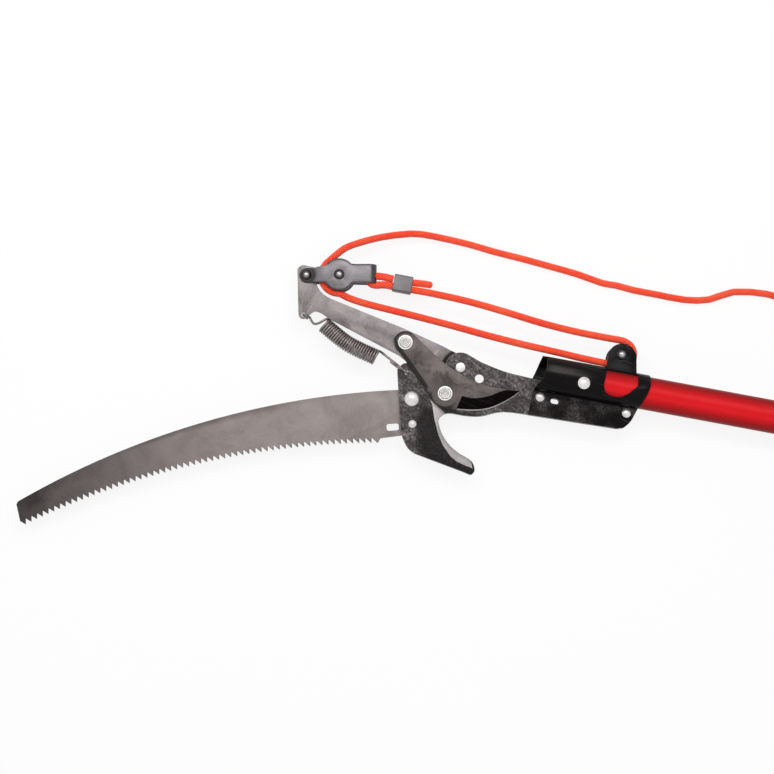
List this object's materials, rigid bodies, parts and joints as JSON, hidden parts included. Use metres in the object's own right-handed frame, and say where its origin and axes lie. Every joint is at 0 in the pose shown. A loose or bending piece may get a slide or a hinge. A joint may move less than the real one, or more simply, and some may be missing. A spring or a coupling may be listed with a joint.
{
  "type": "telescoping pole saw",
  "caption": "Telescoping pole saw with a curved pull saw, a hook and bypass cutter, and a compound lever worked by a rope through a pulley block.",
  "frame": {"origin": "centre of the butt cap's end face, on the pole's axis", "axes": "+X along the pole and out of the butt end, the head lying towards -X; +Y towards the side over which the lever swings; +Z square to the steel plates, on the cutter's side"},
  "size_m": [2.1884, 0.4238, 0.0559],
  "materials": {
    "black_steel": "worn black oxide with scratches and bare edges",
    "saw_steel": "plain rolled steel, slightly stained",
    "cutter_steel": "dark steel with a black coated bevel",
    "lever_steel": "tumbled raw steel, mottled",
    "zinc": "bright zinc plating",
    "dark_steel": "blackened steel",
    "spring_steel": "oiled spring wire",
    "strap_steel": "dull plated sheet steel",
    "rope": "braided orange-red rope",
    "ferrule_metal": "dull crimped aluminium",
    "socket_black": "glossy black enamel on pressed steel",
    "wheel_plastic": "dark moulded nylon",
    "pole_red": "glossy red resin over glass fibre",
    "black_plastic": "moulded black nylon",
    "foam": "closed-cell foam with fine pores",
    "webbing": "woven black strap",
    "lever_red": "moulded red nylon"
  },
  "bodies": {
    "head": {"hook_frame": "black_steel", "saw_blade": "saw_steel", "saw_bolt": "zinc", "saw_bolt_nut": "zinc", "saw_screw": "zinc", "saw_screw_nut": "zinc", "pivot_bolt": "zinc", "pivot_nut": "zinc", "lever_rivet": "zinc", "socket_front": "socket_black", "socket_rear": "socket_black", "socket_screws": "zinc", "socket_nuts": "zinc", "pole_screw": "zinc", "pole_screw_nut": "zinc", "guide_rivet": "dark_steel", "inner_pole": "pole_red", "inner_plug": "black_plastic", "rope_tackle": "rope", "rope_free": "rope", "rope_coil": "rope", "coil_tie": "webbing", "rope_tail": "rope", "pull_handle": "black_plastic", "end_knot": "rope"},
    "cutter": {"cutter_blade": "cutter_steel", "tail_pin": "zinc"},
    "lever": {"lever_arm": "lever_steel"},
    "spring_end": {"return_spring": "spring_steel"},
    "block": {"block_strap": "strap_steel", "block_pin": "dark_steel", "block_axle": "dark_steel", "rope_loop": "rope", "rope_ferrule": "ferrule_metal"},
    "block_wheel": {"block_sheave": "wheel_plastic"},
    "guide_wheel": {"guide_pulley": "wheel_plastic"},
    "handle_pole": {"outer_pole": "pole_red", "lock_collar": "black_plastic", "clamp_bolt": "zinc", "lock_pin": "zinc", "foam_grip": "foam", "butt_cap": "black_plastic"},
    "pole_lock": {"lock_lever": "lever_red"}
  },
  "joints": [
    {"name": "lever_swing", "type": "hinge", "parent": "head", "child": "lever", "pos_m": [-1.8205, -0.0077, 0], "axis": [0, 0, -1], "range_deg": [0, 102], "stiffness_Nm_per_rad": 1.2, "springref_deg": -20.05, "deforming": ["return_spring", "rope_tackle", "rope_free"]},
    {"name": "spring_stretch", "type": "slide", "parent": "lever", "child": "spring_end", "axis": [0.9194, -0.3934, 0], "range_m": [0, 0.076]},
    {"name": "cutter_swing", "type": "hinge", "parent": "head", "child": "cutter", "pos_m": [-1.83, -0.034, 0], "axis": [0, 0, -1], "range_deg": [0, 70]},
    {"name": "block_swivel", "type": "hinge", "parent": "lever", "child": "block", "pos_m": [-1.9729, 0.0494, 0], "axis": [0, 0, -1], "range_deg": [-30, 0]},
    {"name": "block_wheel_spin", "type": "hinge", "parent": "block", "child": "block_wheel", "pos_m": [-1.94351, 0.0549, 0], "axis": [0, 0, -1], "range_deg": [0, 1290]},
    {"name": "guide_wheel_spin", "type": "hinge", "parent": "head", "child": "guide_wheel", "pos_m": [-1.6804, 0.0294, 0], "axis": [0, 0, -1], "range_deg": [0, 1020]},
    {"name": "pole_slide", "type": "slide", "parent": "head", "child": "handle_pole", "axis": [1, 0, 0], "range_m": [0, 1.3]},
    {"name": "lock_lever_swing", "type": "hinge", "parent": "handle_pole", "child": "pole_lock", "pos_m": [-1.477, 0.0165, 0.027], "axis": [0, 0, 1], "range_deg": [0, 100]}
  ],
  "couplings": [
    {"joint": "cutter_swing", "follows": "lever_swing", "ratio": 0.68627},
    {"joint": "block_swivel", "follows": "lever_swing", "ratio": -0.29216},
    {"joint": "block_wheel_spin", "follows": "lever_swing", "ratio": 12.6},
    {"joint": "guide_wheel_spin", "follows": "lever_swing", "ratio": 9.9},
    {"joint": "spring_stretch", "follows": "lever_swing", "m_per_rad": 0.042562}
  ]
}
